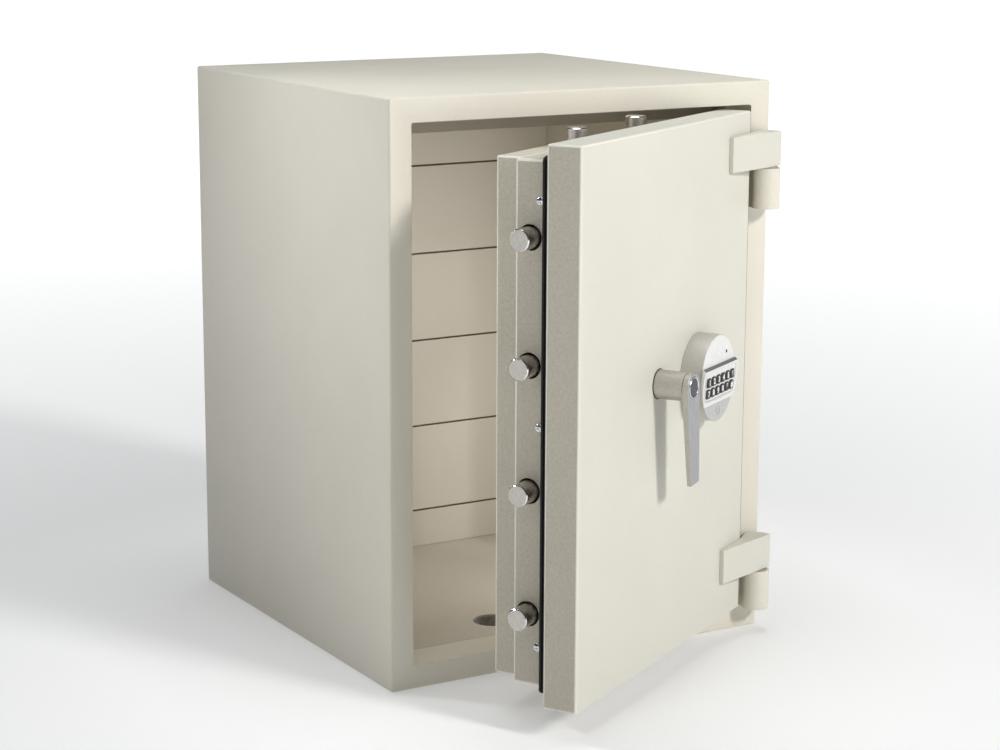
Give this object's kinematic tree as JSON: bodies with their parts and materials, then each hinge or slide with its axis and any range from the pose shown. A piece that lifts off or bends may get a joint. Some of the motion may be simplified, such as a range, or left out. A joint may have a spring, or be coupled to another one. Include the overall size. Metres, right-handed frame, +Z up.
{
  "type": "in room safe",
  "caption": "Free-standing steel security safe with its hinged door standing ajar, round locking bolts, a lever handle and an oval electronic keypad, over a lined inner compartment.",
  "frame": {"origin": "centre of the cabinet's footprint, on the floor", "axes": "+X towards the hinge side (the right, seen from the front), +Y towards the back, +Z up; the door faces -Y when closed"},
  "size_m": [0.5133, 0.7501, 0.67],
  "materials": {
    "cream_paint": "fine-textured powder coat, satin",
    "liner_paint": "smooth powder coat, satin",
    "barrier_fill": "cast concrete, out of sight",
    "seal_rubber": "matt",
    "bolt_steel": "turned, satin",
    "screw_zinc": "zinc plated",
    "lock_zinc": "die-cast, satin",
    "lock_brass": "machined",
    "cable_sheath": "matt",
    "keypad_silver": "silver paint on a moulding, satin",
    "dark_lens": "gloss",
    "key_plastic": "matt",
    "hub_metal": "cast, satin",
    "lever_metal": "satin nickel",
    "handle_cap": "semi-gloss"
  },
  "bodies": {
    "cabinet": {"outer_casing": "cream_paint", "front_frame": "cream_paint", "inner_liner": "liner_paint", "barrier_fill": "barrier_fill", "back_panel": "liner_paint", "hinge_knuckle_upper": "cream_paint", "hinge_knuckle_lower": "cream_paint", "hinge_pin_upper": "bolt_steel", "hinge_pin_lower": "bolt_steel", "thrust_washer_upper": "bolt_steel", "thrust_washer_lower": "bolt_steel"},
    "door": {"door_pan": "cream_paint", "door_fill": "barrier_fill", "door_back_plate": "liner_paint", "bolt_box": "liner_paint", "rear_cover": "liner_paint", "door_seal": "seal_rubber", "hinge_dog_bar": "cream_paint", "hinge_strap_upper": "cream_paint", "hinge_strap_lower": "cream_paint", "box_screw_1": "screw_zinc", "box_screw_2": "screw_zinc", "box_screw_3": "screw_zinc", "cover_screw_1": "screw_zinc", "cover_screw_2": "screw_zinc", "cover_screw_3": "screw_zinc", "cover_screw_4": "screw_zinc", "lock_case": "lock_zinc", "lock_cable": "cable_sheath", "keypad_housing": "keypad_silver", "keypad_fascia": "keypad_silver", "status_lens": "dark_lens"},
    "handle": {"handle_hub": "hub_metal", "handle_lever": "lever_metal", "handle_cap": "handle_cap", "handle_spindle": "bolt_steel", "drive_cam": "bolt_steel"},
    "side_bolts": {"side_bolt_1": "bolt_steel", "side_bolt_2": "bolt_steel", "side_bolt_3": "bolt_steel", "side_bolt_4": "bolt_steel", "side_bolt_carrier": "bolt_steel"},
    "top_bolts": {"top_bolt_1": "bolt_steel", "top_bolt_2": "bolt_steel", "top_bolt_carrier": "bolt_steel"},
    "lock_bolt": {"lock_bolt": "lock_brass"},
    "battery_drawer": {"battery_drawer": "keypad_silver"},
    "key_01": {"key_01": "key_plastic"},
    "key_02": {"key_02": "key_plastic"},
    "key_03": {"key_03": "key_plastic"},
    "key_04": {"key_04": "key_plastic"},
    "key_05": {"key_05": "key_plastic"},
    "key_06": {"key_06": "key_plastic"},
    "key_07": {"key_07": "key_plastic"},
    "key_08": {"key_08": "key_plastic"},
    "key_09": {"key_09": "key_plastic"},
    "key_10": {"key_10": "key_plastic"},
    "key_11": {"key_11": "key_plastic"},
    "key_12": {"key_12": "key_plastic"}
  },
  "joints": [
    {"name": "door_hinge", "type": "hinge", "parent": "cabinet", "child": "door", "pos_m": [0.24, -0.272, 0.33], "axis": [0, 0, 1], "range_deg": [-30.5, 69.5]},
    {"name": "handle_turn", "type": "hinge", "parent": "door", "child": "handle", "pos_m": [0.00532, -0.39631, 0.356], "axis": [0.5075, -0.8616, 0], "range_deg": [-45, 45]},
    {"name": "side_bolt_throw", "type": "slide", "parent": "door", "child": "side_bolts", "axis": [-0.8616, -0.5075, 0], "range_m": [-0.022, 0.022]},
    {"name": "top_bolt_throw", "type": "slide", "parent": "door", "child": "top_bolts", "axis": [0, 0, 1], "range_m": [-0.016, 0.016]},
    {"name": "lock_bolt_throw", "type": "slide", "parent": "door", "child": "lock_bolt", "axis": [0, 0, 1], "range_m": [0, 0.009]},
    {"name": "battery_drawer_slide", "type": "slide", "parent": "door", "child": "battery_drawer", "axis": [0, 0, -1], "range_m": [0, 0.045]},
    {"name": "key_01_press", "type": "slide", "parent": "door", "child": "key_01", "axis": [-0.5075, 0.8616, 0], "range_m": [0, 0.001], "stiffness_N_per_m": 400, "springref_m": -0.001},
    {"name": "key_02_press", "type": "slide", "parent": "door", "child": "key_02", "axis": [-0.5075, 0.8616, 0], "range_m": [0, 0.001], "stiffness_N_per_m": 400, "springref_m": -0.001},
    {"name": "key_03_press", "type": "slide", "parent": "door", "child": "key_03", "axis": [-0.5075, 0.8616, 0], "range_m": [0, 0.001], "stiffness_N_per_m": 400, "springref_m": -0.001},
    {"name": "key_04_press", "type": "slide", "parent": "door", "child": "key_04", "axis": [-0.5075, 0.8616, 0], "range_m": [0, 0.001], "stiffness_N_per_m": 400, "springref_m": -0.001},
    {"name": "key_05_press", "type": "slide", "parent": "door", "child": "key_05", "axis": [-0.5075, 0.8616, 0], "range_m": [0, 0.001], "stiffness_N_per_m": 400, "springref_m": -0.001},
    {"name": "key_06_press", "type": "slide", "parent": "door", "child": "key_06", "axis": [-0.5075, 0.8616, 0], "range_m": [0, 0.001], "stiffness_N_per_m": 400, "springref_m": -0.001},
    {"name": "key_07_press", "type": "slide", "parent": "door", "child": "key_07", "axis": [-0.5075, 0.8616, 0], "range_m": [0, 0.001], "stiffness_N_per_m": 400, "springref_m": -0.001},
    {"name": "key_08_press", "type": "slide", "parent": "door", "child": "key_08", "axis": [-0.5075, 0.8616, 0], "range_m": [0, 0.001], "stiffness_N_per_m": 400, "springref_m": -0.001},
    {"name": "key_09_press", "type": "slide", "parent": "door", "child": "key_09", "axis": [-0.5075, 0.8616, 0], "range_m": [0, 0.001], "stiffness_N_per_m": 400, "springref_m": -0.001},
    {"name": "key_10_press", "type": "slide", "parent": "door", "child": "key_10", "axis": [-0.5075, 0.8616, 0], "range_m": [0, 0.001], "stiffness_N_per_m": 400, "springref_m": -0.001},
    {"name": "key_11_press", "type": "slide", "parent": "door", "child": "key_11", "axis": [-0.5075, 0.8616, 0], "range_m": [0, 0.001], "stiffness_N_per_m": 400, "springref_m": -0.001},
    {"name": "key_12_press", "type": "slide", "parent": "door", "child": "key_12", "axis": [-0.5075, 0.8616, 0], "range_m": [0, 0.001], "stiffness_N_per_m": 400, "springref_m": -0.001}
  ],
  "couplings": [
    {"joint": "side_bolt_throw", "follows": "handle_turn", "m_per_rad": 0.02801},
    {"joint": "top_bolt_throw", "follows": "handle_turn", "m_per_rad": 0.02037}
  ]
}
